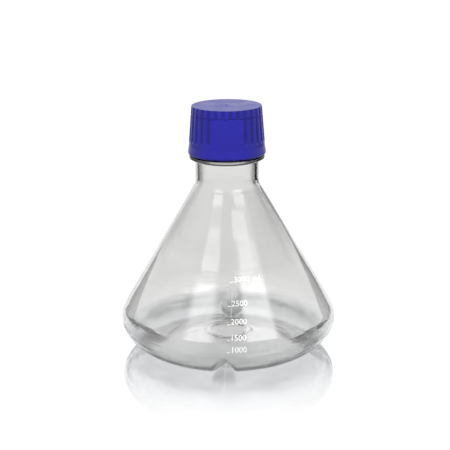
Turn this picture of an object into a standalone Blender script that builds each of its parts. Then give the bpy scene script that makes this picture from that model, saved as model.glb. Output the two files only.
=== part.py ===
"""Baffled shake flask with a screw cap, about three litres.

Metres, +Z up. The flask's axis is the Z axis, its base rests on z = 0 and its graduated front faces -Y.
Three pieces: the blow-moulded vessel, the cap and the seal disc that lies inside the cap.
"""
import math

import bmesh
import bpy
import numpy as np

MM = 0.001

# --- vessel ---------------------------------------------------------------------------------------
BODY_RADIUS = 115.2 * MM        # widest ring
CONE_ANGLE = math.radians(30.2)  # cone wall, measured from the axis
SHOULDER_BEND = 25.8 * MM       # arc from the widest ring up into the cone
HEEL_BEND = 21.3 * MM           # arc from the widest ring down
HEEL_TURN = math.radians(25.2)  # where the heel arc ends, measured down from the horizontal
SOLE_BEND = 41.5 * MM           # larger arc from the heel down to the table
FOOT_WIDTH = 5.6 * MM           # flat annulus that stands on the table
FLOOR_RISE = 10.5 * MM          # how far the floor is pushed up at the middle
DOME_RADIUS = 26.0 * MM         # outside of the moulded ring in the middle of the floor
DOME_FLAT = 17.2 * MM           # flat inside that ring
DOME_SLOPE = 2.8 * MM           # width of each flank of the ring
DOME_RIDGE = 1.6 * MM           # height of that ring over the floor
NECK_RADIUS = 33.35 * MM
NECK_LENGTH = 77.2 * MM         # from where cone and neck would meet, up to the mouth
NECK_BEND = 15.0 * MM           # fillet between cone and neck
BODY_WALL = 1.8 * MM
NECK_WALL = 4.0 * MM
WALL_BLEND = 78.0 * MM          # length of cone over which the wall thickens towards the neck

# --- baffles: inverted V grooves pressed into the base -------------------------------------------
BAFFLE_COUNT = 4
BAFFLE_TURN = math.radians(-2.9)  # the mould's grooves stand a little off the graduated front
BAFFLE_TOP = 29.0 * MM          # height of the groove's ridge at the outer wall
BAFFLE_SLOPE = 0.570            # fall of the ridge line per unit of radius inwards
BAFFLE_FLANK = 1.0              # fall of the groove's flank per unit sideways

# --- neck finish ----------------------------------------------------------------------------------
FINISH_STEP = 0.25 * MM         # how much slimmer the neck is under the thread
RING_REACH = 6.35 * MM          # how far the support ring under the cap stands out of the neck
RING_THICKNESS = 3.6 * MM
RING_DROP = 47.3 * MM           # top of the support ring below the mouth
RING_ROUND = 1.4 * MM           # rounding of the ring's lower edge
RING_FILLET = 2.6 * MM          # fillet between the ring's underside and the neck
EDGE_ROUND = 0.9 * MM           # rounding of the ring's upper edge and of the mouth

# --- thread, shared by neck and cap ---------------------------------------------------------------
THREAD_LEAD = 6.0 * MM
THREAD_TURNS = 1.75
THREAD_HEIGHT = 1.3 * MM
THREAD_ROOT_WIDTH = 2.6 * MM
THREAD_CREST_WIDTH = 1.2 * MM
THREAD_DROP = 4.4 * MM          # top end of the neck's thread below the mouth
THREAD_BITE = 0.5 * MM          # how deep a thread's root is sunk into its wall
THREAD_FADE = math.radians(30)  # run-out at each end
THREAD_STEP = math.radians(9)
THREAD_CLEARANCE = 0.4 * MM     # radial, between one piece's crest and the other's wall
FLANK_CLEARANCE = 0.5 * MM      # axial, between the flanks that bear on each other

# --- cap ------------------------------------------------------------------------------------------
PIECE_GAP = 0.3 * MM            # between pieces that touch
CAP_WALL = 1.9 * MM             # skirt at the top edge, over the bore
CAP_TOP_WALL = 2.3 * MM
CAP_TAPER = math.radians(4.5)   # skirt flares downwards
CAP_EDGE = 0.7 * MM             # rounding of the top edge
RIM_GAP = 1.1 * MM              # between the cap's rim and the support ring
FOOT_HEIGHT = 14.2 * MM         # smooth foot under the ribs
FOOT_FLARE = 0.3 * MM           # widest part of the foot beyond the tapered skirt
FOOT_ROUND = 2.2 * MM
BAND_DROP = 8.3 * MM            # top of the thin groove under the upper band
GROOVE_WIDTH = 1.1 * MM
GROOVE_DEPTH = 0.7 * MM
RIB_COUNT = 30
RIB_SHARE = 0.46                # share of the pitch that is rib crest
FLUTE_SIDE_SHARE = 0.12         # share of the pitch taken by each side of a flute
FLUTE_DEPTH_TOP = 0.6 * MM
FLUTE_DEPTH_FOOT = 1.3 * MM
PANEL_COUNT = 2                 # smooth panels that interrupt the ribs under the band
PANEL_HALF_PITCHES = 2          # half-width of a panel, in rib pitches
GATE_RADIUS = 1.6 * MM          # moulding mark in the middle of the top
GATE_DEPTH = 0.35 * MM
LINER_THICKNESS = 1.6 * MM
BEAD_HEIGHT = 0.7 * MM          # bead that keeps the liner in the cap
BEAD_WIDTH = 1.2 * MM
LEAD_IN = 1.0 * MM              # widening of the bore at the rim
LINER_EDGE = 0.2 * MM

TURNED_COLUMNS = 64             # facets round a turned surface
SHARP_ANGLE = math.radians(28)
OVERSHOOT = 5.0 * MM            # how far a cutter runs past the solid that it cuts

# --- derived sizes --------------------------------------------------------------------------------
SOLE_RADIUS = (BODY_RADIUS - HEEL_BEND * (1 - math.cos(HEEL_TURN))
               - SOLE_BEND * math.cos(HEEL_TURN))
WIDEST_Z = HEEL_BEND * math.sin(HEEL_TURN) + SOLE_BEND * (1 - math.sin(HEEL_TURN))
CONE_FOOT_Z = WIDEST_Z + SHOULDER_BEND * math.sin(CONE_ANGLE)
CONE_FOOT_RADIUS = BODY_RADIUS - SHOULDER_BEND * (1 - math.cos(CONE_ANGLE))
JUNCTION_Z = CONE_FOOT_Z + (CONE_FOOT_RADIUS - NECK_RADIUS) / math.tan(CONE_ANGLE)
MOUTH_Z = JUNCTION_Z + NECK_LENGTH
RING_TOP_Z = MOUTH_Z - RING_DROP
CAP_RIM_Z = RING_TOP_Z + RIM_GAP
LINER_Z = MOUTH_Z + PIECE_GAP
CAP_CEILING_Z = LINER_Z + LINER_THICKNESS + PIECE_GAP
CAP_TOP_Z = CAP_CEILING_Z + CAP_TOP_WALL
FINISH_RADIUS = NECK_RADIUS - FINISH_STEP
RING_RADIUS = NECK_RADIUS + RING_REACH
CAP_BORE = FINISH_RADIUS + THREAD_HEIGHT + THREAD_CLEARANCE
CAP_TOP_RADIUS = CAP_BORE + CAP_WALL
LINER_RADIUS = CAP_BORE - PIECE_GAP


def clear_scene():
    for obj in list(bpy.data.objects):
        bpy.data.objects.remove(obj, do_unlink=True)


# --- materials ------------------------------------------------------------------------------------
def plain_material(name, colour, roughness, alpha=1.0):
    material = bpy.data.materials.new(name)
    material.use_nodes = True
    shader = material.node_tree.nodes["Principled BSDF"]
    shader.inputs["Base Color"].default_value = (*colour, 1.0)
    shader.inputs["Roughness"].default_value = roughness
    shader.inputs["Metallic"].default_value = 0.0
    shader.inputs["Alpha"].default_value = alpha
    material.diffuse_color = (*colour, alpha)
    return material


def clear_polycarbonate():
    return plain_material("clear_polycarbonate", (0.86, 0.88, 0.88), 0.05, alpha=0.3)


def blue_polypropylene():
    return plain_material("blue_polypropylene", (0.035, 0.03, 0.46), 0.32)


def liner_foam():
    return plain_material("liner_foam", (0.85, 0.85, 0.82), 0.6)


# --- outlines, as (radius, height) points --------------------------------------------------------
def arc(centre, radius, start, end, steps):
    """Points on an arc; angles are measured from the outward horizontal."""
    angles = np.linspace(start, end, steps + 1)
    return np.column_stack([centre[0] + radius * np.cos(angles), centre[1] + radius * np.sin(angles)])


def polyline(*runs):
    """Joins runs of points and drops repeated points."""
    points = np.vstack([np.atleast_2d(run) for run in runs])
    keep = np.ones(len(points), bool)
    keep[1:] = np.linalg.norm(np.diff(points, axis=0), axis=1) > 1e-7
    return points[keep]


def base_outline(inset, sole_steps, heel_steps):
    """Underside from near the axis to the widest ring, moved inwards by inset.

    A raised ring stands in a floor that is pushed up like a low cone, then come the flat foot and
    the two arcs that turn up into the wall.
    """
    crown = FLOOR_RISE + DOME_RIDGE + inset
    floor = FLOOR_RISE + inset
    foot_inner = SOLE_RADIUS - FOOT_WIDTH
    sole = arc((SOLE_RADIUS, SOLE_BEND), SOLE_BEND - inset, -math.pi / 2, -HEEL_TURN, sole_steps)
    heel = arc((BODY_RADIUS - HEEL_BEND, WIDEST_Z), HEEL_BEND - inset, -HEEL_TURN, 0.0, heel_steps)
    return polyline([DOME_FLAT, floor], [DOME_FLAT + DOME_SLOPE, crown],
                    [DOME_RADIUS - DOME_SLOPE, crown], [DOME_RADIUS, floor],
                    [foot_inner, inset], sole, heel)


def outer_outline():
    """Vessel's outside, from the middle of the underside up to the mouth."""
    reach = NECK_BEND * math.tan(CONE_ANGLE / 2)
    ring_low = RING_TOP_Z - RING_THICKNESS
    return polyline(
        base_outline(0.0, 5, 3),
        arc((BODY_RADIUS - SHOULDER_BEND, WIDEST_Z), SHOULDER_BEND, 0.0, CONE_ANGLE, 4),
        arc((NECK_RADIUS + NECK_BEND, JUNCTION_Z + reach), NECK_BEND, math.pi + CONE_ANGLE, math.pi, 3),
        arc((NECK_RADIUS + RING_FILLET, ring_low - RING_FILLET), RING_FILLET, math.pi, math.pi / 2, 3),
        arc((RING_RADIUS - RING_ROUND, ring_low + RING_ROUND), RING_ROUND, -math.pi / 2, 0.0, 3),
        arc((RING_RADIUS - EDGE_ROUND, RING_TOP_Z - EDGE_ROUND), EDGE_ROUND, 0.0, math.pi / 2, 2),
        [FINISH_RADIUS, RING_TOP_Z],
        arc((FINISH_RADIUS - EDGE_ROUND, MOUTH_Z - EDGE_ROUND), EDGE_ROUND, 0.0, math.pi / 2, 1))


def cavity_outline():
    """Vessel's inside, run out past the mouth. The wall thickens up the cone towards the neck."""
    bore = NECK_RADIUS - NECK_WALL
    blend_z = JUNCTION_Z - WALL_BLEND
    blend_radius = (CONE_FOOT_RADIUS - (blend_z - CONE_FOOT_Z) * math.tan(CONE_ANGLE)
                    - BODY_WALL / math.cos(CONE_ANGLE))
    inner_angle = math.atan((blend_radius - bore) / WALL_BLEND)
    inner_bend = NECK_BEND + NECK_WALL
    reach = inner_bend * math.tan(inner_angle / 2)
    return polyline(
        base_outline(BODY_WALL, 4, 2),
        arc((BODY_RADIUS - SHOULDER_BEND, WIDEST_Z), SHOULDER_BEND - BODY_WALL, 0.0, CONE_ANGLE, 3),
        [blend_radius, blend_z],
        arc((bore + inner_bend, JUNCTION_Z + reach), inner_bend, math.pi + inner_angle, math.pi, 3),
        [bore, MOUTH_Z - EDGE_ROUND],
        [bore + EDGE_ROUND + OVERSHOOT, MOUTH_Z + OVERSHOOT])


def cap_outline():
    """Cap's outside from its top down, as rows of (radius, drop below the top, flute share).

    A share up to 1 cuts every flute to that part of its depth; 2 cuts them except on the panels.
    """
    def skirt(drop):
        return CAP_TOP_RADIUS + drop * math.tan(CAP_TAPER)

    total = CAP_TOP_Z - CAP_RIM_Z
    rib_end = total - FOOT_HEIGHT
    widest = skirt(total - FOOT_ROUND) + FOOT_FLARE
    groove_end = BAND_DROP + GROOVE_WIDTH
    groove_floor = skirt(BAND_DROP) - GROOVE_DEPTH - FLUTE_DEPTH_TOP
    ramp = 0.15 * GROOVE_WIDTH
    return [
        (0.6 * GATE_RADIUS, GATE_DEPTH, 0.0),
        (GATE_RADIUS, 0.0, 0.0),
        (CAP_TOP_RADIUS - 1.3 * CAP_EDGE, 0.0, 0.0),
        (skirt(CAP_EDGE), CAP_EDGE, 1.0),
        (skirt(BAND_DROP), BAND_DROP, 1.0),
        (groove_floor, BAND_DROP + ramp, 0.0),
        (groove_floor, groove_end - ramp, 0.0),
        (skirt(groove_end), groove_end, 2.0),
        (skirt(rib_end - FLUTE_DEPTH_FOOT), rib_end - FLUTE_DEPTH_FOOT, 2.0),
        (skirt(rib_end), rib_end, 0.0),
        (skirt(rib_end) + 0.1 * FOOT_FLARE, rib_end + 0.35 * FOOT_HEIGHT, 0.0),
        (widest, total - FOOT_ROUND, 0.0),
        (widest - 0.3 * FOOT_ROUND, total - 0.3 * FOOT_ROUND, 0.0),
        (widest - FOOT_ROUND, total, 0.0)]


def cap_bore_outline():
    """Cap's inside from below the rim to the ceiling, with the bead that holds the liner."""
    bead_top = LINER_Z - PIECE_GAP
    return polyline(
        [CAP_BORE + LEAD_IN, CAP_RIM_Z - OVERSHOOT],
        [CAP_BORE + LEAD_IN, CAP_RIM_Z],
        [CAP_BORE, CAP_RIM_Z + 1.5 * LEAD_IN],
        [CAP_BORE, bead_top - BEAD_WIDTH],
        [CAP_BORE - BEAD_HEIGHT, bead_top - 0.7 * BEAD_WIDTH],
        [CAP_BORE - BEAD_HEIGHT, bead_top - 0.3 * BEAD_WIDTH],
        [CAP_BORE, bead_top],
        [CAP_BORE, CAP_CEILING_Z])


# --- meshes ---------------------------------------------------------------------------------------
def ring_points(radius, height, angles):
    """One ring; the angle is measured from -Y towards +X."""
    radius = np.broadcast_to(radius, angles.shape)
    height = np.broadcast_to(height, angles.shape)
    return np.column_stack([radius * np.sin(angles), -radius * np.cos(angles), height])


def closed_object(name, points, faces, material):
    """Object with the faces turned outwards."""
    mesh = bpy.data.meshes.new(name)
    mesh.from_pydata(points, [], faces)
    mesh.materials.append(material)
    shape = bmesh.new()
    shape.from_mesh(mesh)
    bmesh.ops.recalc_face_normals(shape, faces=shape.faces)
    shape.to_mesh(mesh)
    shape.free()
    obj = bpy.data.objects.new(name, mesh)
    bpy.context.scene.collection.objects.link(obj)
    return obj


def solid_through(name, rings, material):
    """Closed solid through rings of equal length, each end closed by one face."""
    count = len(rings[0])
    faces = [tuple(range(count))[::-1], tuple(range((len(rings) - 1) * count, len(rings) * count))]
    for low in range(len(rings) - 1):
        for i in range(count):
            j = (i + 1) % count
            start = low * count
            faces.append((start + i, start + j, start + count + j, start + count + i))
    return closed_object(name, np.vstack(rings).tolist(), faces, material)


def turned(name, outline, material):
    """Closed solid of revolution about Z."""
    angles = np.linspace(0.0, 2 * math.pi, TURNED_COLUMNS + 1)[:-1]
    return solid_through(name, [ring_points(r, z, angles) for r, z in outline], material)


def combine(obj, other, operation):
    """Cuts or joins another object and keeps that one only as a guide."""
    change = obj.modifiers.new(other.name, "BOOLEAN")
    change.operation = operation
    change.solver = "EXACT"
    change.object = other
    other.hide_render = True
    other.display_type = "WIRE"


def settle(obj):
    """Applies the object's modifiers, then shades round faces smooth between sharp edges."""
    graph = bpy.context.evaluated_depsgraph_get()
    mesh = bpy.data.meshes.new_from_object(obj.evaluated_get(graph))
    obj.modifiers.clear()
    obj.data = mesh
    mesh.shade_smooth()
    mesh.set_sharp_from_angle(angle=SHARP_ANGLE)
    return obj


def thread_ridge(name, wall_radius, outwards, top_z, material):
    """Right-hand helical ridge, its root sunk into the wall that it belongs to."""
    length = THREAD_TURNS * 2 * math.pi
    steps = math.ceil(length / THREAD_STEP)
    sense = 1 if outwards else -1
    rings = []
    for k in range(steps + 1):
        angle = length * k / steps
        fade = min(1.0, angle / THREAD_FADE, (length - angle) / THREAD_FADE)
        rise = THREAD_HEIGHT * max(0.02, math.sin(0.5 * math.pi * fade))
        z = top_z - THREAD_LEAD * (length - angle) / (2 * math.pi)
        root = wall_radius - sense * THREAD_BITE
        crest = wall_radius + sense * rise
        corners = [(root, z - THREAD_ROOT_WIDTH / 2), (crest, z - THREAD_CREST_WIDTH / 2),
                   (crest, z + THREAD_CREST_WIDTH / 2), (root, z + THREAD_ROOT_WIDTH / 2)]
        rings.append(np.array([(r * math.sin(angle), -r * math.cos(angle), h) for r, h in corners]))
    return solid_through(name, rings, material)


def groove_wedges(name, lift, material):
    """Wedges under the grooves' flanks, one for each baffle, as one cutter.

    lift raises them all, so that the same wedge serves the inside of the wall.
    """
    inner = SOLE_RADIUS - 3 * FOOT_WIDTH
    outer = BODY_RADIUS + OVERSHOOT
    side = BAFFLE_TOP + lift + OVERSHOOT
    points, faces = [], []
    for k in range(BAFFLE_COUNT):
        turn = BAFFLE_TURN + 2 * math.pi * k / BAFFLE_COUNT
        along = np.array([math.sin(turn), -math.cos(turn)])
        across = np.array([math.cos(turn), math.sin(turn)])
        first = len(points)
        for radius in (inner, outer):
            ridge = BAFFLE_TOP + lift - BAFFLE_SLOPE * (BODY_RADIUS - radius)
            for offset in (-side, side, 0.0):
                spot = radius * along + offset * across
                points.append((*spot, ridge - BAFFLE_FLANK * abs(offset)))
        for face in ((0, 1, 2), (5, 4, 3), (0, 3, 4, 1), (1, 4, 5, 2), (2, 5, 3, 0)):
            faces.append([first + corner for corner in face])
    return closed_object(name, points, faces, material)


# --- pieces ---------------------------------------------------------------------------------------
def build_flask():
    """Outer solid less its grooves, hollowed by a cavity with the same grooves a wall further in."""
    material = clear_polycarbonate()
    flask = turned("flask_body", outer_outline(), material)
    cavity = turned("cavity", cavity_outline(), material)
    wall_lift = BODY_WALL * math.sqrt(1 + BAFFLE_SLOPE ** 2 + BAFFLE_FLANK ** 2)
    combine(cavity, groove_wedges("inner_wedges", wall_lift, material), "DIFFERENCE")
    combine(flask, groove_wedges("outer_wedges", 0.0, material), "DIFFERENCE")
    combine(flask, cavity, "DIFFERENCE")
    thread = thread_ridge("neck_thread", FINISH_RADIUS, True, MOUTH_Z - THREAD_DROP, material)
    combine(flask, thread, "UNION")
    return settle(flask)


def rib_columns():
    """Azimuths of the cap's columns, which lie in a flute, and which are on a panel."""
    pitch = 2 * math.pi / RIB_COUNT
    crest = RIB_SHARE * pitch / 2
    floor = crest + FLUTE_SIDE_SHARE * pitch
    per_panel = RIB_COUNT // PANEL_COUNT
    angles, in_flute, on_panel = [], [], []
    for k in range(RIB_COUNT):
        after_panel = (k + PANEL_HALF_PITCHES) % per_panel
        for offset, flute in ((-crest, 0.0), (crest, 0.0), (floor, 1.0), (pitch - floor, 1.0)):
            angles.append(k * pitch + offset)
            in_flute.append(flute)
            on_panel.append(after_panel < 2 * PANEL_HALF_PITCHES)
    return np.array(angles), np.array(in_flute), np.array(on_panel)


def build_cap():
    """Ribbed outer solid, hollowed by a stepped bore, with the inner thread joined on."""
    material = blue_polypropylene()
    angles, in_flute, on_panel = rib_columns()
    rib_end = CAP_TOP_Z - CAP_RIM_Z - FOOT_HEIGHT
    rings = []
    for radius, drop, share in cap_outline():
        depth = FLUTE_DEPTH_TOP + (FLUTE_DEPTH_FOOT - FLUTE_DEPTH_TOP) * min(1.0, drop / rib_end)
        cut = depth * in_flute * (~on_panel if share > 1.0 else share)
        rings.append(ring_points(radius - cut, CAP_TOP_Z - drop, angles))
    cap = solid_through("cap_shell", rings, material)
    combine(cap, turned("cap_bore", cap_bore_outline(), material), "DIFFERENCE")
    bearing = (THREAD_ROOT_WIDTH + THREAD_CREST_WIDTH) / 2 + FLANK_CLEARANCE
    thread = thread_ridge("cap_thread", CAP_BORE, False, MOUTH_Z - THREAD_DROP - bearing, material)
    combine(cap, thread, "UNION")
    return settle(cap)


def build_liner():
    top = LINER_Z + LINER_THICKNESS
    outline = [
        (LINER_RADIUS - LINER_EDGE, LINER_Z),
        (LINER_RADIUS, LINER_Z + LINER_EDGE),
        (LINER_RADIUS, top - LINER_EDGE),
        (LINER_RADIUS - LINER_EDGE, top)]
    return settle(turned("cap_liner", outline, liner_foam()))


def main():
    clear_scene()
    build_flask()
    build_cap()
    build_liner()


main()
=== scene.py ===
"""Baffled shake flask: the finished look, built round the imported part.

Metres, +Z up, front towards -Y.
"""
import math

import bpy
import numpy as np
from bpy.props import FloatProperty, FloatVectorProperty, IntProperty, PointerProperty
from mathutils import Matrix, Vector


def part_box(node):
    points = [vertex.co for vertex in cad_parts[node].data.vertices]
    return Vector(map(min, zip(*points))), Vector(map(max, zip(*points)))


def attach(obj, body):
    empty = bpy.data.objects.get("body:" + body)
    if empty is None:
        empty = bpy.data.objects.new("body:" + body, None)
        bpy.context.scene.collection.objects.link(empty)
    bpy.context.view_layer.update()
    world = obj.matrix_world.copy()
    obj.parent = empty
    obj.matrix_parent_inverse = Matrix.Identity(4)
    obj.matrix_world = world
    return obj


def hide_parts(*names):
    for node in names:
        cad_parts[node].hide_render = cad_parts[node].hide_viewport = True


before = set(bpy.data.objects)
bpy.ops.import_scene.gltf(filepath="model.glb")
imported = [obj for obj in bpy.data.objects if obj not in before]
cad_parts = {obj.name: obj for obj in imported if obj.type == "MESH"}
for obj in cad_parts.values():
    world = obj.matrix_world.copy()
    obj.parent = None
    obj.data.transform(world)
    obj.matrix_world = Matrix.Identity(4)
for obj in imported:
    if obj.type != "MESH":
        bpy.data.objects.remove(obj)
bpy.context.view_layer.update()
VESSEL_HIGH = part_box("flask_body")[1]
CAP_LOW, CAP_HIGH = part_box("cap_shell")
LINER_LOW, LINER_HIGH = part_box("cap_liner")

bl_info = {
    "name": "Baffled Shake Flask",
    "version": (1, 0, 0),
    "blender": (4, 5, 0),
    "location": "View3D > Sidebar > Flask",
    "description": "Builds a clear baffled shake flask with a ribbed screw cap",
    "category": "Add Mesh",
}

MM = 0.001
TAU = 2 * math.pi
POLYCARBONATE_IOR = 1.586
SMOOTH = {"interpolation_type": "SMOOTHSTEP"}
# how softly each surface's edges are rounded over: the spread of the mean in softened()
WALL_SOFT = 0.35 * MM
CHAMBER_SOFT = 0.5 * MM
CAP_SOFT = 0.16 * MM
BORE_SOFT = 0.12 * MM
LINER_SOFT = 0.1 * MM
# longest step and largest turn between two rows of each surface
VESSEL_ROWS = (2.4 * MM, math.radians(9))
CHAMBER_ROWS = (3.0 * MM, math.radians(9))
CAP_ROWS = (2.2 * MM, math.radians(12))
BORE_ROWS = (0.9 * MM, math.radians(14))
LINER_ROWS = (2.5 * MM, math.radians(15))
COLUMNS_PER_GROOVE = 60
COLUMNS_PER_RIB = 12
FLUTE_EDGE = 0.16           # a flute's flank, as a share of half the ribs' pitch
PANEL_EDGE = math.radians(1.0)
GATE_DEPTH = 0.8 * MM
LINER_PRESS = 0.15 * MM     # how deep the mouth's rim has pressed into the seal disc
LINER_SIDES = 128
DIGIT_SHARE = 0.73          # height of a digit in the font, as a share of the font's size
DASH_HALF = 0.3 * MM        # half-height of the line beside a figure
DASH_GAP = 0.6 * MM         # between that line and the figure


# --- colour and node helpers ------------------------------
def linear(hex_colour):
    """sRGB hex string to a linear RGBA tuple."""
    channels = [int(hex_colour[i:i + 2], 16) / 255 for i in (0, 2, 4)]
    return (*[c / 12.92 if c <= 0.04045 else ((c + 0.055) / 1.055) ** 2.4 for c in channels], 1.0)


def add_node(tree, kind, sockets=(), **settings):
    """Adds a shader node, sets its properties and fills its sockets.

    A socket given another node, or a node's output, is linked to it; anything else is its value.
    A list fills the sockets in their order, as Math: terms, or MapRange: value, from, to, start, end.
    """
    node = tree.nodes.new("ShaderNode" + kind)
    for name, value in settings.items():
        setattr(node, name, value)
    pairs = sockets.items() if isinstance(sockets, dict) else enumerate(sockets)
    for name, value in pairs:
        source = value.outputs[0] if isinstance(value, bpy.types.Node) else value
        if isinstance(source, bpy.types.NodeSocket):
            tree.links.new(source, node.inputs[name])
        else:
            node.inputs[name].default_value = source
    return node


def new_material(name):
    """An empty node material and its tree."""
    material = bpy.data.materials.new(name)
    material.use_nodes = True
    material.node_tree.nodes.clear()
    return material, material.node_tree


def finish_material(material, shader):
    add_node(material.node_tree, "OutputMaterial", {"Surface": shader})
    return material


# --- surface helpers --------------------------------------
def arc(centre, radius, start, end, steps=48):
    """Points on an arc in the (radius, height) plane: centre + radius * (cos, sin) of the angle."""
    angle = np.linspace(start, end, steps + 1)
    return np.column_stack([centre[0] + radius * np.cos(angle), centre[1] + radius * np.sin(angle)])


def path(*runs):
    """Joins runs of points and drops repeats."""
    points = np.vstack([np.atleast_2d(run) for run in runs])
    step = np.linalg.norm(np.diff(points, axis=0), axis=1)
    return points[np.concatenate([[True], step > 1e-8])]


def softened(points, soft, step=0.1 * MM):
    """Even fine points along a path, each replaced by the Gaussian mean of its neighbours.

    The mean's width, soft, rounds the corners; both ends are mirrored so that they stay put.
    """
    run = np.concatenate([[0.0], np.cumsum(np.linalg.norm(np.diff(points, axis=0), axis=1))])
    count = int(run[-1] / step) + 2
    even = np.linspace(0.0, run[-1], count)
    fine = np.column_stack([np.interp(even, run, points[:, 0]), np.interp(even, run, points[:, 1])])
    reach = int(3 * soft / step) + 1
    weight = np.exp(-0.5 * (np.arange(-reach, reach + 1) * step / soft) ** 2)
    weight /= weight.sum()
    padded = np.vstack([2 * fine[0] - fine[reach:0:-1], fine, 2 * fine[-1] - fine[-2:-reach - 2:-1]])
    return np.column_stack([np.convolve(padded[:, 0], weight, "valid"),
                            np.convolve(padded[:, 1], weight, "valid")])


def stations(fine, max_step, max_turn):
    """Picks rows on a fine path: each covers at most max_step of length or max_turn of direction.

    The run of length / max_step + turning / max_turn is summed along the path and cut evenly.
    """
    move = np.diff(fine, axis=0)
    length = np.linalg.norm(move, axis=1)
    heading = np.unwrap(np.arctan2(move[:, 1], move[:, 0]))
    turning = np.abs(np.gradient(heading))
    effort = np.concatenate([[0.0], np.cumsum(length / max_step + turning / max_turn)])
    wanted = np.linspace(0.0, effort[-1], int(math.ceil(effort[-1])) + 1)
    return np.column_stack([np.interp(wanted, effort, fine[:, 0]), np.interp(wanted, effort, fine[:, 1])])


def left_normals(rows):
    """Unit normals on the left of the way along the rows, from central differences."""
    move = np.gradient(rows, axis=0)
    normal = np.column_stack([-move[:, 1], move[:, 0]])
    return normal / np.linalg.norm(normal, axis=1)[:, None]


def smooth_step(value):
    """3t^2 - 2t^3 of the value held between 0 and 1."""
    held = np.clip(value, 0.0, 1.0)
    return held * held * (3 - 2 * held)


def round_surface(name, radius, height, angle, material, inward=False):
    """Closed surface from grids of radius and height over rows and columns of azimuth.

    A point is (radius * sin(angle), -radius * cos(angle), height). The first and last rows are
    closed by fans to a pole at their mean. inward turns the faces round.
    """
    radius, height, angle = np.broadcast_arrays(radius, height, angle)
    rows, columns = radius.shape
    points = np.stack([radius * np.sin(angle), -radius * np.cos(angle), height], axis=-1)
    poles = np.stack([points[0].mean(axis=0), points[-1].mean(axis=0)])
    index = np.arange(rows * columns).reshape(rows, columns)
    ahead = np.roll(index, -1, axis=1)
    quads = np.stack([index[:-1], ahead[:-1], ahead[1:], index[1:]], axis=-1).reshape(-1, 4)
    first = np.stack([ahead[0], index[0], np.full(columns, rows * columns)], axis=-1)
    last = np.stack([index[-1], ahead[-1], np.full(columns, rows * columns + 1)], axis=-1)
    faces = [f[::-1] if inward else f for f in quads.tolist() + first.tolist() + last.tolist()]
    return mesh_object(name, np.vstack([points.reshape(-1, 3), poles]), faces, material)


def new_object(name, data):
    """An object for a mesh, a curve, a lamp or a camera, in the scene's collection."""
    obj = bpy.data.objects.new(name, data)
    bpy.context.scene.collection.objects.link(obj)
    return obj


def mesh_object(name, points, faces, material):
    mesh = bpy.data.meshes.new(name)
    mesh.from_pydata(np.asarray(points).tolist(), [], faces)
    mesh.materials.append(material)
    mesh.shade_smooth()
    return new_object(name, mesh)


def helix_ridge(angle, height, top, lead, turns, root, crest, fade):
    """Share of a thread's height at each point of a wall.

    A right-hand helix climbs one lead a turn up to top. Across it the share falls from 1 on the
    crest to 0 at the root, and along it fades in and out at the ends.
    """
    share = np.zeros(np.broadcast(angle, height).shape)
    length = turns * TAU
    around = np.mod(angle, TAU)
    for turn in range(int(math.ceil(turns)) + 1):
        along = around + turn * TAU
        middle = top - lead * (length - along) / TAU
        across = (root / 2 - np.abs(height - middle)) / ((root - crest) / 2)
        ends = np.minimum(along, length - along) / fade
        share = np.maximum(share, smooth_step(across) * smooth_step(ends))
    return share


# --- sizes and colours that a user would change -----------
def length(name, description, millimetres):
    """A length setting, given in millimetres and kept in metres."""
    return FloatProperty(name=name, description=description, default=millimetres * MM, unit="LENGTH")


def degrees(name, description, angle):
    """An angle setting, given in degrees and kept in radians."""
    return FloatProperty(name=name, description=description, default=math.radians(angle), subtype="ANGLE")


class FlaskVesselSettings(bpy.types.PropertyGroup):
    cone_angle: degrees("Cone Angle", "Cone wall, measured from the axis", 30.2)
    shoulder_bend: length("Shoulder Bend", "Arc from the widest ring into the cone", 25.8)
    heel_bend: length("Heel Bend", "Arc from the widest ring down", 21.3)
    heel_turn: degrees("Heel Turn", "Where the heel's arc ends below the horizontal", 25.2)
    sole_bend: length("Sole Bend", "Larger arc from the heel to the table", 41.5)
    foot_width: length("Foot Width", "Flat ring that stands on the table", 5.6)
    floor_rise: length("Floor Rise", "How far the floor is pushed up", 10.5)
    dome_radius: length("Dome Radius", "Outside of the moulded ring in the floor", 26.0)
    dome_flat: length("Dome Flat", "Radius of the flat inside that ring", 17.2)
    dome_slope: length("Dome Slope", "Width of each flank of that ring", 2.8)
    dome_ridge: length("Dome Ridge", "Height of that ring over the floor", 1.6)
    neck_radius: length("Neck Radius", "Outside of the neck", 33.35)
    neck_bend: length("Neck Bend", "Fillet between cone and neck", 15.0)
    body_wall: length("Body Wall", "Wall of the base and lower cone", 1.8)
    neck_wall: length("Neck Wall", "Wall of the neck", 4.0)
    wall_blend: length("Wall Blend", "Length of cone over which the wall thickens", 78.0)
    tint: FloatVectorProperty(name="Tint", description="What one wall lets through",
                              default=linear("ECECEB")[:3], subtype="COLOR", min=0, max=1)


class FlaskBaffleSettings(bpy.types.PropertyGroup):
    count: IntProperty(name="Baffles", description="Grooves pressed into the base", default=4, min=1)
    turn: degrees("Turn", "Azimuth of the first groove from the front", -2.9)
    top: length("Top", "Height of the groove's ridge at the outer wall", 29.0)
    slope: FloatProperty(name="Slope", description="Fall of the ridge per unit inwards", default=0.570)
    flank: FloatProperty(name="Flank", description="Fall of the flank per unit sideways", default=1.0)
    ridge_round: length("Ridge Round", "Rounding of the ridge under the wall", 0.4)
    edge_round: length("Edge Round", "Rounding where a groove meets the wall", 0.35)


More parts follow.
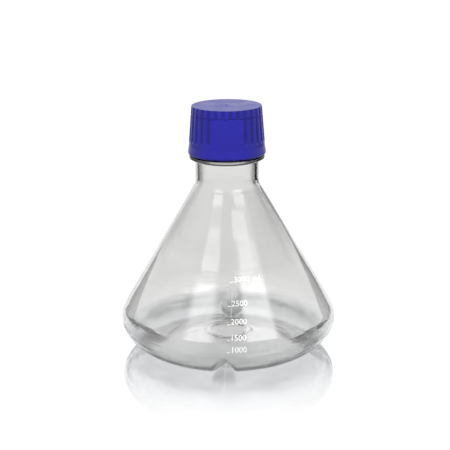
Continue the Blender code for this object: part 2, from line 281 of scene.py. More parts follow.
class FlaskFinishSettings(bpy.types.PropertyGroup):
    finish_radius: length("Finish Radius", "Neck under the thread", 33.1)
    ring_radius: length("Ring Radius", "Support ring under the cap", 39.7)
    ring_thickness: length("Ring Thickness", "Height of the support ring's edge", 3.6)
    ring_drop: length("Ring Drop", "Top of the support ring below the mouth", 47.3)
    edge_round: length("Edge Round", "Rounding of the ring's and mouth's edges", 0.9)
    ring_fillet: length("Ring Fillet", "Fillet between the ring and the neck", 2.6)
    ring_round: length("Ring Round", "Rounding of the support ring's lower edge", 1.4)
    lead: length("Thread Lead", "Rise of the thread in one turn", 6.0)
    turns: FloatProperty(name="Thread Turns", description="Length of the thread in turns", default=1.75)
    height: length("Thread Height", "Radial height of the thread", 1.3)
    root: length("Thread Root", "Width of the thread at its root", 2.3)
    crest: length("Thread Crest", "Width of the thread's flat crest", 1.2)
    fade: degrees("Thread Fade", "Run-out at each end of the thread", 30)
    drop: length("Thread Drop", "Top end of the neck's thread below the mouth", 4.4)
    mating_drop: length("Mating Drop", "Cap's thread below the neck's thread", 2.4)


class FlaskMarkSettings(bpy.types.PropertyGroup):
    digit_height: length("Digit Height", "Height of the moulded digits", 5.9)
    raised: length("Raised", "How far the digits stand out of the wall", 0.6)
    dash: length("Dash", "Length of the line at each mark", 3.0)


class FlaskCapSettings(bpy.types.PropertyGroup):
    top_radius: length("Top Radius", "Cap at its top edge", 36.7)
    taper: degrees("Taper", "Flare of the skirt", 4.5)
    edge: length("Top Edge", "Rounding of the top edge", 0.7)
    foot_height: length("Foot Height", "Smooth foot under the ribs", 14.2)
    foot_flare: length("Foot Flare", "Widest part of the foot beyond the skirt", 0.3)
    foot_round: length("Foot Round", "Rounding of the foot", 2.2)
    band_drop: length("Band Drop", "Top of the groove under the upper band", 8.3)
    groove_width: length("Groove Width", "Height of that groove", 1.1)
    groove_depth: length("Groove Depth", "Depth of that groove", 1.1)
    ribs: IntProperty(name="Ribs", description="Ribs round the cap", default=30, min=3)
    rib_share: FloatProperty(name="Rib Share", description="Rib crest's share of the pitch", default=0.46)
    flute_top: length("Flute Depth, Top", "Depth of the flutes at the top", 0.9)
    flute_foot: length("Flute Depth, Foot", "Depth of the flutes at their lower end", 1.8)
    panels: IntProperty(name="Panels", description="Smooth panels between the ribs", default=2, min=0)
    panel_half: degrees("Panel Half-width", "Half-width of a smooth panel", 26.5)
    bore: length("Bore", "Inside radius of the cap", 34.8)
    lead_in: length("Lead-in", "Widening of the bore at the rim", 1.0)
    bead: length("Bead", "Bead that holds the seal disc", 0.7)
    bead_width: length("Bead Width", "Height of that bead along the bore", 1.2)
    ceiling: length("Top Wall", "Thickness of the cap's top", 2.3)
    gate: length("Gate Mark", "Radius of the moulding mark in the top", 1.6)
    colour: FloatVectorProperty(name="Cap Colour", description="Blue of the moulded cap",
                                default=linear("18167C")[:3], subtype="COLOR", min=0, max=1)


class FlaskStageSettings(bpy.types.PropertyGroup):
    floor_size: length("Floor Size", "Half-width of the floor", 6000.0)
    gloss: FloatProperty(name="Floor Gloss", description="Mirror share at the flask", default=0.62)
    gloss_near: length("Gloss Near", "Radius where the gloss starts to fade", 100)
    gloss_far: length("Gloss Far", "Radius where the gloss has gone", 215)
    # painted shadow on the floor round the flask's foot: its depth, the radius of its darkest ring and its
    # reach
    shade: FloatProperty(name="Foot Shade", description="Darkening at the foot", default=0.32)
    shade_radius: length("Foot Shade Radius", "Radius of the darkest ring", 84)
    shade_width: length("Foot Shade Width", "Reach of the shade on each side of it", 30)
    flag_radius: length("Flag Distance", "Distance of the dark cards", 600.0)
    flag_height: length("Flag Height", "Height of the dark cards", 120.0)
    softbox: FloatProperty(name="Softbox", description="Power of each lamp", default=10.5, unit="POWER")


# --- materials --------------------------------------------
def stretched_noise(tree, place, around, upright, detail):
    """Noise whose features are this long round the piece and this tall, both in metres."""
    stretch = add_node(tree, "Mapping", {"Vector": place, "Scale": (1 / around, 1 / around, 1 / upright)})
    return add_node(tree, "TexNoise", {"Vector": stretch, "Scale": 1.0, "Detail": detail})


def moulded_skin(tree, place, z, streak):
    """Normals of the skin: slow swells, fine level ripples that calm up the cone, streaks at the base."""
    swell = stretched_noise(tree, place, 60 * MM, 45 * MM, 0.0)
    ripple = stretched_noise(tree, place, 90 * MM, 3 * MM, 1.0)
    slow = add_node(tree, "Math", [swell, 0.10], operation="MULTIPLY")
    calmer = add_node(tree, "MapRange", [z, 80 * MM, 130 * MM, 0.016, 0.002], **SMOOTH)
    rippled = add_node(tree, "Math", [ripple, calmer, slow], operation="MULTIPLY_ADD")
    at_base = add_node(tree, "MapRange", [z, 25 * MM, 50 * MM, 0.70, 0.0], **SMOOTH)
    height = add_node(tree, "Math", [streak, at_base, rippled], operation="MULTIPLY_ADD")
    return add_node(tree, "Bump", {"Height": height, "Distance": 1 * MM})


def painted_slant_shade(tree, z, slant, tint):
    """What a wall lets through, with painted shade: seen at a slant its colour is darkened, standing in
    for the dark surroundings that its edges bend into view.

    The painted shade fades down the cone, where the wall thins out.
    """
    depth = add_node(tree, "ValToRGB", {"Fac": slant})
    stops = depth.color_ramp.elements
    stops[0].position, stops[0].color = 0.38, (*tint, 1.0)
    stops[1].position, stops[1].color = 1.0, (*[0.9 * c for c in tint], 1.0)
    for position, share in ((0.50, 0.85), (0.64, 0.42), (0.80, 0.50)):
        stops.new(position).color = (*[share * c for c in tint], 1.0)
    upper = add_node(tree, "MapRange", [z, 70 * MM, 140 * MM, 0.05, 1.0], **SMOOTH)
    return add_node(tree, "Mix", {"Factor": upper, 6: (*tint, 1.0), 7: depth},
                    data_type="RGBA").outputs[2]


def on_support_ring(tree, z, ring):
    """1 between the support ring's lower and upper height, 0 off it."""
    from_below = add_node(tree, "MapRange", [z, ring[0], ring[0] + 2 * MM], **SMOOTH)
    from_above = add_node(tree, "MapRange", [z, ring[1] + 0.5 * MM, ring[1] + 0.1 * MM], **SMOOTH)
    return add_node(tree, "Math", [from_below, from_above], operation="MULTIPLY")


def painted_ring_shade(tree, slant, on_ring):
    """The support ring is solid; painted shade darkens it nearly to black where it turns away from view.
    """
    depth = add_node(tree, "ValToRGB", {"Fac": slant})
    stops = depth.color_ramp.elements
    stops[0].position, stops[0].color = 0.07, (0.6, 0.6, 0.6, 1.0)
    stops[1].position, stops[1].color = 0.17, (0.05, 0.05, 0.05, 1.0)
    return add_node(tree, "Mix", {0: on_ring, 2: 1.0, 3: depth}, data_type="FLOAT")


def base_shade_and_streaks(tree, z, streak):
    """Painted shade: the base is darkened towards the table, where shade falls under the flask; level
    streaks, a little thicker or thinner, make it a little darker or lighter at random.
    """
    painted_base_shade = add_node(tree, "MapRange", [z, 7 * MM, 24 * MM, 0.58, 1.0], **SMOOTH)
    uneven = add_node(tree, "MapRange", [streak, 0.35, 0.65, 0.60, 1.2])
    even = add_node(tree, "MapRange", [z, 8 * MM, 24 * MM], **SMOOTH)
    streaked = add_node(tree, "Mix", {0: even, 2: uneven, 3: 1.0}, data_type="FLOAT")
    return add_node(tree, "Math", [painted_base_shade, streaked], operation="MULTIPLY")


def level_face(tree, on_ring):
    """1 on the level faces of floor and foot, which are looked straight through, but not on the ring."""
    normal = add_node(tree, "NewGeometry").outputs["Normal"]
    up = add_node(tree, "SeparateXYZ", {"Vector": normal}).outputs["Z"]
    level = add_node(tree, "Math", [up], operation="ABSOLUTE")
    flat = add_node(tree, "MapRange", [level, 0.75, 0.95])
    off_ring = add_node(tree, "Math", [1.0, on_ring], operation="SUBTRACT")
    return add_node(tree, "Math", [flat, off_ring], operation="MULTIPLY")


def clear_polycarbonate(name, tint, ring):
    """Blow-moulded polycarbonate: clear, IOR 1.586, hard glossy skin.

    Stretching the hot parison leaves slow swells, fine level ripples and, at the base where it
    chills against the mould, stronger streaks, so highlights waver and what lies behind is bent.
    """
    material, tree = new_material(name)
    place = add_node(tree, "TexCoord").outputs["Object"]
    z = add_node(tree, "SeparateXYZ", {"Vector": place}).outputs["Z"]
    slant = add_node(tree, "LayerWeight", {"Blend": 0.5}).outputs["Facing"]
    streak = stretched_noise(tree, place, 30 * MM, 5 * MM, 2.0)
    on_ring = on_support_ring(tree, z, ring)
    # painted shade on the base and the support ring, times the base's random streaks
    share = add_node(tree, "Math", [base_shade_and_streaks(tree, z, streak), painted_ring_shade(tree, slant, on_ring)],
                     operation="MULTIPLY")
    # painted shade: the wall's colour is darkened where it is seen at a slant
    wall = add_node(tree, "VectorMath", {0: painted_slant_shade(tree, z, slant, tint), "Scale": share},
                    operation="SCALE")
    # the level faces of floor and foot keep the plain tint, without the painted shade
    through = add_node(tree, "Mix", {"Factor": level_face(tree, on_ring), 6: wall, 7: (*tint, 1.0)},
                       data_type="RGBA").outputs[2]
    # handling haze: the gloss varies a little in patches of about 20 mm
    haze = add_node(tree, "TexNoise", {"Vector": place, "Scale": 50.0, "Detail": 3.0})
    gloss = add_node(tree, "MapRange", [haze, 0.35, 0.7, 0.01, 0.04])
    shader = add_node(tree, "BsdfPrincipled", {
        "IOR": POLYCARBONATE_IOR, "Transmission Weight": 1.0, "Base Color": through, "Roughness": gloss,
        "Normal": moulded_skin(tree, place, z, streak)})
    return finish_material(material, shader)


def raised_polycarbonate(name):
    """Figures raised out of the blow-moulded wall, IOR 1.586.

    Painted highlight: a white, partly matt share of the body stands in for the light their steep edges
    catch, so they read paler than the clear wall round them. Wear varies their gloss.
    """
    material, tree = new_material(name)
    place = add_node(tree, "TexCoord").outputs["Object"]
    wear = add_node(tree, "TexNoise", {"Vector": place, "Scale": 400.0, "Detail": 2.0})
    gloss = add_node(tree, "MapRange", [wear, 0.35, 0.65, 0.05, 0.20])
    # painted highlight: a white body, three tenths of it matt rather than clear
    shader = add_node(tree, "BsdfPrincipled", {
        "Base Color": linear("F4F4F2"), "IOR": POLYCARBONATE_IOR, "Transmission Weight": 0.70,
        "Roughness": gloss})
    return finish_material(material, shader)


def moulded_polypropylene(name, colour):
    """Injection-moulded polypropylene, IOR 1.49, coloured right through.

    A spark-eroded mould leaves a fine grain that spreads the gloss, and the pigment's flow gives the
    blue slow, faint clouds.
    """
    material, tree = new_material(name)
    place = add_node(tree, "TexCoord").outputs["Object"]
    cloud = add_node(tree, "TexNoise", {"Vector": place, "Scale": 60.0, "Detail": 3.0})
    deep = tuple(0.86 * c for c in colour)
    light = tuple(min(1.0, 1.12 * c + 0.004) for c in colour)
    clouded = add_node(tree, "Mix", {"Factor": cloud, 6: (*deep, 1.0), 7: (*light, 1.0)},
                       data_type="RGBA")
    # painted shade: the flutes are darkened, as if shaded in their recesses
    painted_flute_shade = add_node(tree, "Attribute", attribute_name="painted_flute_shade").outputs["Fac"]
    flute_shade_factor = add_node(tree, "MapRange", [painted_flute_shade, 0.0, 1.0, 1.0, 0.62])
    body = add_node(tree, "VectorMath", {0: clouded.outputs[2], "Scale": flute_shade_factor}, operation="SCALE")
    # grain of 0.35 mm, a little coarser than the real one so that it shows
    grain = add_node(tree, "TexNoise", {"Vector": place, "Scale": 2800.0, "Detail": 2.0})
    bump = add_node(tree, "Bump", {"Height": grain, "Strength": 0.15, "Distance": 0.01 * MM})
    rub = add_node(tree, "MapRange", [cloud, 0.3, 0.7, 0.26, 0.36])
    shader = add_node(tree, "BsdfPrincipled", {
        "IOR": 1.49, "Specular IOR Level": 0.26, "Base Color": body, "Roughness": rub, "Normal": bump})
    return finish_material(material, shader)


def foam_liner(name):
    """Expanded polyethylene sheet, IOR 1.5: matt white, with cells of about half a millimetre."""
    material, tree = new_material(name)
    place = add_node(tree, "TexCoord").outputs["Object"]
    cells = add_node(tree, "TexVoronoi", {"Vector": place, "Scale": 2000.0, "Smoothness": 0.6},
                     feature="SMOOTH_F1").outputs["Distance"]
    shade = add_node(tree, "Mix", {"Factor": cells, 6: linear("D9D9D3"), 7: linear("F1F1EC")},
                     data_type="RGBA").outputs[2]
    bump = add_node(tree, "Bump", {"Height": cells, "Strength": 0.4, "Distance": 0.08 * MM})
    shader = add_node(tree, "BsdfPrincipled", {
        "Roughness": 0.62, "IOR": 1.5, "Base Color": shade, "Normal": bump})
    return finish_material(material, shader)


# --- vessel -----------------------------------------------
class VesselShape:
    """Profile and grooves of the vessel, worked out from the settings and the frame's box."""

    def __init__(self, scene):
        self.v, self.b, self.f = scene.flask_vessel, scene.flask_baffles, scene.flask_finish
        v = self.v
        self.radius = VESSEL_HIGH[0]
        self.mouth = VESSEL_HIGH[2]
        self.sole = (self.radius - v.heel_bend * (1 - math.cos(v.heel_turn))
                     - v.sole_bend * math.cos(v.heel_turn))
        self.widest = v.heel_bend * math.sin(v.heel_turn) + v.sole_bend * (1 - math.sin(v.heel_turn))
        self.cone_z = self.widest + v.shoulder_bend * math.sin(v.cone_angle)
        self.cone_radius = self.radius - v.shoulder_bend * (1 - math.cos(v.cone_angle))
        self.junction = self.cone_z + (self.cone_radius - v.neck_radius) / math.tan(v.cone_angle)

    def underside(self, inset):
        """Raised ring and low cone of the floor, flat foot, then the two arcs up to the widest ring."""
        v = self.v
        floor = v.floor_rise + inset
        crown = floor + v.dome_ridge
        return path([0.02 * v.dome_radius, floor], [v.dome_flat, floor],
                    [v.dome_flat + v.dome_slope, crown], [v.dome_radius - v.dome_slope, crown],
                    [v.dome_radius, floor], [self.sole - v.foot_width, inset],
                    arc((self.sole, v.sole_bend), v.sole_bend - inset, -math.pi / 2, -v.heel_turn),
                    arc((self.radius - v.heel_bend, self.widest), v.heel_bend - inset, -v.heel_turn, 0.0))

    def outside(self):
        """Underside, shoulder arc, straight cone, neck fillet, support ring, finish and mouth."""
        v, f = self.v, self.f
        reach = v.neck_bend * math.tan(v.cone_angle / 2)
        ring_top = self.mouth - f.ring_drop
        ring_low = ring_top - f.ring_thickness
        e = f.edge_round
        return path(
            self.underside(0.0),
            arc((self.radius - v.shoulder_bend, self.widest), v.shoulder_bend, 0.0, v.cone_angle),
            arc((v.neck_radius + v.neck_bend, self.junction + reach), v.neck_bend,
                math.pi + v.cone_angle, math.pi),
            arc((v.neck_radius + f.ring_fillet, ring_low - f.ring_fillet), f.ring_fillet,
                math.pi, math.pi / 2, 8),
            arc((f.ring_radius - f.ring_round, ring_low + f.ring_round), f.ring_round,
                -math.pi / 2, 0.0, 8),
            arc((f.ring_radius - e, ring_top - e), e, 0.0, math.pi / 2, 8),
            [f.finish_radius, ring_top],
            arc((f.finish_radius - e, self.mouth - e), e, 0.0, math.pi / 2, 8))

    def inside(self):
        """The same from the floor's middle up to the mouth, a wall further in and thicker at the neck."""
        v, f = self.v, self.f
        bore = v.neck_radius - v.neck_wall
        blend_z = self.junction - v.wall_blend
        blend_radius = (self.cone_radius - (blend_z - self.cone_z) * math.tan(v.cone_angle)
                        - v.body_wall / math.cos(v.cone_angle))
        angle = math.atan((blend_radius - bore) / v.wall_blend)
        bend = v.neck_bend + v.neck_wall
        reach = bend * math.tan(angle / 2)
        e = f.edge_round
        return path(
            self.underside(v.body_wall),
            arc((self.radius - v.shoulder_bend, self.widest), v.shoulder_bend - v.body_wall,
                0.0, v.cone_angle),
            [blend_radius, blend_z],
            arc((bore + bend, self.junction + reach), bend, math.pi + angle, math.pi),
            arc((bore + e, self.mouth - e), e, math.pi, math.pi / 2, 8))

    def off_groove(self, angle):
        """Azimuth from the nearest groove's middle."""
        pitch = TAU / self.b.count
        return np.mod(angle - self.b.turn + pitch / 2, pitch) - pitch / 2

    def columns(self):
        """Azimuths, packed about seven times closer across each groove than between grooves."""
        fine = np.linspace(0.0, TAU, 7201)
        density = 1.0 + 6.0 * np.exp(-(self.off_groove(fine) / math.radians(8.0)) ** 2)
        effort = np.concatenate([[0.0], np.cumsum(0.5 * (density[1:] + density[:-1]))])
        wanted = np.linspace(0.0, effort[-1], COLUMNS_PER_GROOVE * self.b.count + 1)[:-1]
        return np.interp(wanted, effort, fine)

    def grooved(self, rows, angle, lift, ridge_round):
        """Radius and height grids with the grooves pushed in.

        A groove's roof is a ridge line that falls inwards by slope, less flank times the distance
        sideways. A wall point under the roof moves along the wall's normal until it reaches the
        roof: by gap / (normal up + roof's rise outwards * normal inwards). The step from moved to
        unmoved is a parabola as long as the edge rounding.
        """
        b = self.b
        off = self.off_groove(angle)
        normal = left_normals(rows)
        r, z = rows[:, :1], rows[:, 1:]
        into, up = -normal[:, :1], normal[:, 1:]
        side = np.sqrt((r * np.sin(off)) ** 2 + ridge_round ** 2)
        roof = b.top + lift - b.slope * (self.radius - r * np.cos(off)) - b.flank * side
        rise = b.slope * np.cos(off) - b.flank * np.abs(np.sin(off))
        push = (roof - z) / np.maximum(up + rise * into, 0.2)
        soft = b.edge_round
        push = np.maximum(push, 0.0) + np.maximum(soft - np.abs(push), 0.0) ** 2 / (4 * soft)
        push = np.where(z < self.widest + soft, push, 0.0)
        return r - push * into, z + push * up


class FLASK_OT_vessel(bpy.types.Operator):
    """Build the clear vessel: grooved base, cone, neck, support ring and thread, as one closed wall"""
    bl_idname = "flask.vessel"
    bl_label = "Vessel"

    def execute(self, context):
        shape = VesselShape(context.scene)
        v, b, f = shape.v, shape.b, shape.f
        angle = shape.columns()[None, :]
        outer = stations(softened(shape.outside(), WALL_SOFT), *VESSEL_ROWS)
        inner = stations(softened(shape.inside(), CHAMBER_SOFT), *CHAMBER_ROWS)
        # the grooves' inner roof lies a wall above the outer one, measured square to it
        lift = v.body_wall * math.sqrt(1 + b.slope ** 2 + b.flank ** 2)
        outer_r, outer_z = shape.grooved(outer, angle, 0.0, b.ridge_round)
        inner_r, inner_z = shape.grooved(inner, angle, lift, b.ridge_round + v.body_wall)
        ring_top = shape.mouth - f.ring_drop
        on_finish = (outer_z > ring_top + 1 * MM) & (outer_z < shape.mouth - f.edge_round)
        thread_top = shape.mouth - f.drop
        ridge = helix_ridge(angle, outer_z, thread_top, f.lead, f.turns, f.root, f.crest, f.fade)
        outer_r = outer_r + np.where(on_finish, f.height * ridge, 0.0)
        radius = np.vstack([outer_r, inner_r[::-1]])
        height = np.vstack([outer_z, inner_z[::-1]])
        ring = (ring_top - f.ring_thickness - f.ring_fillet, ring_top)
        material = clear_polycarbonate("Blow-moulded polycarbonate", v.tint, ring)
        vessel = round_surface("vessel", radius, height, angle, material)
        vessel.visible_shadow = False
        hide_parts("flask_body")
        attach(vessel, "flask")
        return {"FINISHED"}


# figures, height of their middle and place of their left edge from the front's middle, in mm
MARKS = (("1000", 37.0, 1.9), ("1500", 48.0, 1.4), ("2000", 62.0, 2.3), ("2500", 78.0, 3.1),
         ("3000 mL", 99.0, 5.4))


class FLASK_OT_marks(bpy.types.Operator):
    """Mould the volume marks on the front of the cone: digits and a short line at each height"""
    bl_idname = "flask.marks"
    bl_label = "Volume Marks"

    def execute(self, context):
        m = context.scene.flask_marks
        shape = VesselShape(context.scene)
        wall = softened(shape.outside(), WALL_SOFT)
        wall = wall[(wall[:, 1] > shape.widest) & (wall[:, 1] < shape.junction)]
        material = raised_polycarbonate("Raised polycarbonate figures")
        points, faces = [], []
        for text, height, left in MARKS:
            flat, text_faces = self.glyphs(text, m)
            flat[:, 1] -= m.digit_height / 2
            first = sum(len(p) for p in points)
            points.append(self.wrapped(flat, wall, height * MM, left * MM))
            faces += [[first + i for i in face] for face in text_faces]
        marks = mesh_object("volume_marks", np.vstack(points), faces, material)
        marks.data.set_sharp_from_angle(angle=math.radians(40))
        marks.visible_shadow = False
        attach(marks, "flask")
        return {"FINISHED"}

    @staticmethod
    def wrapped(flat, wall, height, left):
        """Flat points laid on the wall: up runs along its profile, across runs round the axis.

        The flat origin goes to this height and this far right of the front's middle; out is along
        the wall's normal.
        """
        run = np.concatenate([[0.0], np.cumsum(np.linalg.norm(np.diff(wall, axis=0), axis=1))])
        normal = -left_normals(wall)
        along = np.interp(height, wall[:, 1], run) + flat[:, 1]
        r, z, out_r, out_z = (np.interp(along, run, line) for line in (*wall.T, *normal.T))
        turn = np.arcsin((left + flat[:, 0]) / r)
        r = r + flat[:, 2] * out_r
        return np.column_stack([r * np.sin(turn), -r * np.cos(turn), z + flat[:, 2] * out_z])

    @staticmethod
    def glyphs(text, m):
        """Flat raised text with its dash, as points (across, up, out) and faces."""
        curve = bpy.data.curves.new("mark_text", "FONT")
        curve.body = text
        curve.size = m.digit_height / DIGIT_SHARE
        curve.extrude = m.raised / 2
        curve.bevel_depth = 0.05 * m.raised
        curve.resolution_u = 3
        holder = new_object("mark_text", curve)
        bpy.context.view_layer.update()
        mesh = bpy.data.meshes.new_from_object(holder)
        points = np.empty(3 * len(mesh.vertices))
        mesh.vertices.foreach_get("co", points)
        points = points.reshape(-1, 3)
        points[:, 2] += 0.4 * m.raised
        faces = [list(p.vertices) for p in mesh.polygons]
        bpy.data.objects.remove(holder)
        bpy.data.curves.remove(curve)
        bpy.data.meshes.remove(mesh)
        left, right = -m.dash - DASH_GAP, -DASH_GAP
        low, high = -DASH_HALF, DASH_HALF
        corner = np.array([[left, low], [right, low], [right, high], [left, high]])
        box = np.vstack([np.column_stack([corner, np.full(4, -0.1 * m.raised)]),
                         np.column_stack([corner, np.full(4, 0.9 * m.raised)])])
        sides = [[3, 2, 1, 0], [4, 5, 6, 7], [0, 1, 5, 4], [1, 2, 6, 5], [2, 3, 7, 6], [3, 0, 4, 7]]
        first = len(points)
        faces += [[first + i for i in face] for face in sides]
        return np.vstack([points, box]), faces


# --- cap --------------------------------------------------
class FLASK_OT_cap(bpy.types.Operator):
    """Build the blue screw cap: ribbed band, groove, fluted skirt with smooth panels, thread inside"""
    bl_idname = "flask.cap"
    bl_label = "Cap"

    def execute(self, context):
        c, f = context.scene.flask_cap, context.scene.flask_finish
        top, rim = CAP_HIGH[2], CAP_LOW[2]
        columns = COLUMNS_PER_RIB * c.ribs
        angle = (np.arange(columns) * TAU / columns)[None, :]
        outer = stations(softened(self.outside(c, top - rim), CAP_SOFT), *CAP_ROWS)
        flute, depth = self.flutes(c, angle, outer[:, 1:], top - rim)
        outer_r = outer[:, :1] - depth * flute
        outer_z = np.broadcast_to(top - outer[:, 1:], outer_r.shape)
        inner = stations(softened(self.inside(c, rim, top), BORE_SOFT), *BORE_ROWS)
        inner_z = np.broadcast_to(inner[:, 1:], (len(inner), angle.shape[1]))
        thread_top = VESSEL_HIGH[2] - f.drop - f.mating_drop
        ridge = helix_ridge(angle, inner_z, thread_top, f.lead, f.turns, f.root, f.crest, f.fade)
        on_bore = np.abs(inner[:, :1] - c.bore) < 0.05 * MM
        inner_r = inner[:, :1] - np.where(on_bore, f.height * ridge, 0.0)
        radius = np.vstack([outer_r, inner_r])
        height = np.vstack([outer_z, inner_z])
        material = moulded_polypropylene("Injection-moulded polypropylene", c.colour)
        cap = round_surface("cap", radius, height, angle, material, inward=True)
        # painted shade: how far each outside point lies in a flute, for the material to darken
        painted_flute_shade = np.zeros(len(cap.data.vertices), dtype=np.float32)
        painted_flute_shade[:outer_r.size] = (flute * np.clip(depth / c.flute_top, 0.0, 1.0)).ravel()
        cap.data.attributes.new("painted_flute_shade", "FLOAT", "POINT").data.foreach_set("value", painted_flute_shade)
        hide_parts("cap_shell")
        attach(cap, "cap")
        return {"FINISHED"}

    @staticmethod
    def flutes(c, angle, drop, total):
        """Share of a flute at each point, and how deep a full one is at each drop below the top.

        Across one pitch the share rises by a smooth step past the rib's crest, and it is 0 on the
        smooth panels below the band. The depth grows evenly to the ribs' lower end, is stepped
        away at both ends and is a quarter in the groove.
        """
        rib_end = total - c.foot_height
        pitch = TAU / c.ribs
        off = np.abs(np.mod(angle + pitch / 2, pitch) - pitch / 2) / (pitch / 2)
        flute = smooth_step((off - c.rib_share) / FLUTE_EDGE)
        panel_pitch = TAU / max(c.panels, 1)
        from_panel = np.abs(np.mod(angle + panel_pitch / 2, panel_pitch) - panel_pitch / 2)
        on_panel = 1.0 - smooth_step((from_panel - c.panel_half) / PANEL_EDGE)
        below_band = smooth_step((drop - c.band_drop - 0.5 * c.groove_width) / (0.3 * MM))
        depth = c.flute_top + (c.flute_foot - c.flute_top) * np.clip(drop / rib_end, 0.0, 1.0)
        depth = depth * smooth_step((rib_end - drop) / (1.6 * MM)) * smooth_step(drop / (0.9 * c.edge))
        in_groove = np.abs(drop - c.band_drop - c.groove_width / 2) < 0.45 * c.groove_width
        return flute * (1.0 - below_band * on_panel), np.where(in_groove, 0.25 * depth, depth)

    @staticmethod
    def outside(c, total):
        """Top, edge, band, groove, tapered skirt and foot as (radius, drop below the top)."""
        def skirt(drop):
            return c.top_radius + drop * math.tan(c.taper)

        rib_end = total - c.foot_height
        widest = skirt(total - c.foot_round) + c.foot_flare
        groove_end = c.band_drop + c.groove_width
        floor = skirt(c.band_drop) - c.groove_depth
        return path([0.05 * c.gate, GATE_DEPTH], [0.8 * c.gate, GATE_DEPTH], [c.gate, 0.0],
                    [c.top_radius - c.edge, 0.0],
                    arc((c.top_radius - c.edge, c.edge), c.edge, -math.pi / 2, -c.taper, 6),
                    [skirt(c.band_drop), c.band_drop], [floor, c.band_drop + 0.1 * MM],
                    [floor, groove_end - 0.1 * MM], [skirt(groove_end), groove_end],
                    [skirt(rib_end), rib_end],
                    [skirt(rib_end) + 0.1 * c.foot_flare, rib_end + 0.3 * c.foot_height],
                    arc((widest - c.foot_round, total - c.foot_round), c.foot_round, 0.0, math.pi / 2, 10))

    @staticmethod
    def inside(c, rim, top):
        """Lead-in, bore, bead and ceiling as (radius, height), from the rim up."""
        bead_top = LINER_LOW[2] - 0.3 * MM
        ceiling = top - c.ceiling
        return path([c.bore + c.lead_in, rim], [c.bore, rim + 1.5 * c.lead_in],
                    [c.bore, bead_top - c.bead_width], [c.bore - c.bead, bead_top - 0.7 * c.bead_width],
                    [c.bore - c.bead, bead_top - 0.3 * c.bead_width], [c.bore, bead_top],
                    [c.bore, ceiling], [0.02 * c.bore, ceiling])


class FLASK_OT_liner(bpy.types.Operator):
    """Build the foam seal disc that lies against the cap's ceiling, pressed in where the mouth bears"""
    bl_idname = "flask.liner"
    bl_label = "Seal Disc"

    def execute(self, context):
        radius, low, high = LINER_HIGH[0], LINER_LOW[2], LINER_HIGH[2]
        press = LINER_PRESS
        mouth = context.scene.flask_finish.finish_radius
        wall = context.scene.flask_vessel.neck_wall
        outline = path([0.01 * radius, low], [mouth - wall, low], [mouth - 0.75 * wall, low + press],
                       [mouth - 0.25 * wall, low + press], [mouth, low], [radius - press, low],
                       [radius, low + press], [radius, high - press], [radius - press, high],
                       [0.01 * radius, high])
        rows = stations(softened(outline, LINER_SOFT), *LINER_ROWS)
        angle = (np.arange(LINER_SIDES) * TAU / LINER_SIDES)[None, :]
        material = foam_liner("Foam liner sheet")
        liner = round_surface("seal_disc", rows[:, :1], rows[:, 1:], angle, material)
        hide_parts("cap_liner")
        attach(liner, "seal")
        return {"FINISHED"}


# --- stage ------------------------------------------------
# the lamps hang in an arch: elevation is counted from one that dips by this times azimuth squared
LAMP_ARCH = 0.00196
# azimuth, half-width and soft edge, elevation, half-height and soft edge, strength
LAMP_PATCHES = (
    (-35.5, 10.0, 13.0, 35.5, 5.3, 1.0, 2.3),
    (-32.5, 10.0, 10.0, 43.6, 1.7, 0.4, 0.8),
    (-32.5, 9.0, 9.0, 43.6, 0.15, 0.4, 2.0),
    (-34.0, 13.0, 8.0, 45.8, 0.5, 0.3, 3.0),
    (39.5, 14.5, 8.0, 35.6, 5.5, 1.2, 2.7),
    (31.0, 14.5, 8.0, 44.1, 0.7, 0.3, 2.6),
    (33.0, 10.0, 10.0, 42.6, 0.7, 0.4, 1.4),
    (43.0, 14.0, 8.0, 45.8, 0.5, 0.3, 3.0),
    (95.0, 25.0, 12.0, 56.0, 12.0, 4.0, -0.75),
)
# name, start and end in degrees off the line of sight, foot as a share of the height, colour
CARDS = (("flag_right", 34, 82, 0.0, "0A0A0A"), ("flag_left", -38, -80, 0.0, "5A5A5A"),
         ("flag_high", 17, 34, 0.8, "0A0A0A"))
SOFTBOXES = (("softbox_left", -22), ("softbox_right", 18))  # name, azimuth in degrees
SOFTBOX_SIZE = (0.6, 0.5)
SOFTBOX_ELEVATION = 42
SOFTBOX_DISTANCE = 1.1
SOFTBOX_AIM = 0.12          # height on the axis that they point at
LENS = 90.84                # mm, on a 36 mm frame
CAMERA_PLACE = (-2.7 * MM, -1.1630, 0.4729)
CAMERA_DIP = 16.30          # degrees below the horizon
CAMERA_ROLL = -0.483


